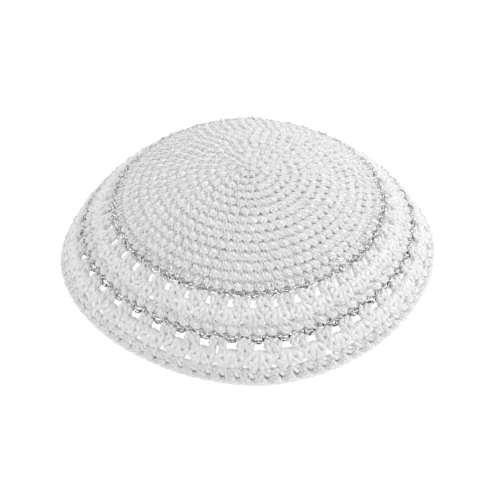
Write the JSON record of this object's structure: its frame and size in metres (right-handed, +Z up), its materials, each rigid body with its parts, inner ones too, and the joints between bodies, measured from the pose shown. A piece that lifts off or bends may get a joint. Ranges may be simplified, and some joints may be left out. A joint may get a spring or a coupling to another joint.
{
  "type": "kippah skullcap",
  "caption": "Crocheted white cotton skullcap: a shallow dome with a close crown, two openwork bands of shell stitches, two rounds of silver thread and a close rim.",
  "frame": {"origin": "centre of the rim ring on the surface that the cap rests on", "axes": "+Z up through the middle of the crown, -Y the front, towards the picture's camera, +X the picture's right"},
  "size_m": [0.1794, 0.1756, 0.0478],
  "materials": {
    "white_cotton": "crocheted white mercerised cotton yarn, matt with a soft sheen",
    "silver_thread": "crocheted thin silver metallised thread, glinting"
  },
  "bodies": {
    "root": {"crown": "white_cotton", "silver_round_upper": "silver_thread", "shell_band_upper": "white_cotton", "silver_round_lower": "silver_thread", "shell_band_lower": "white_cotton", "rim_band": "white_cotton"}
  },
  "joints": []
}
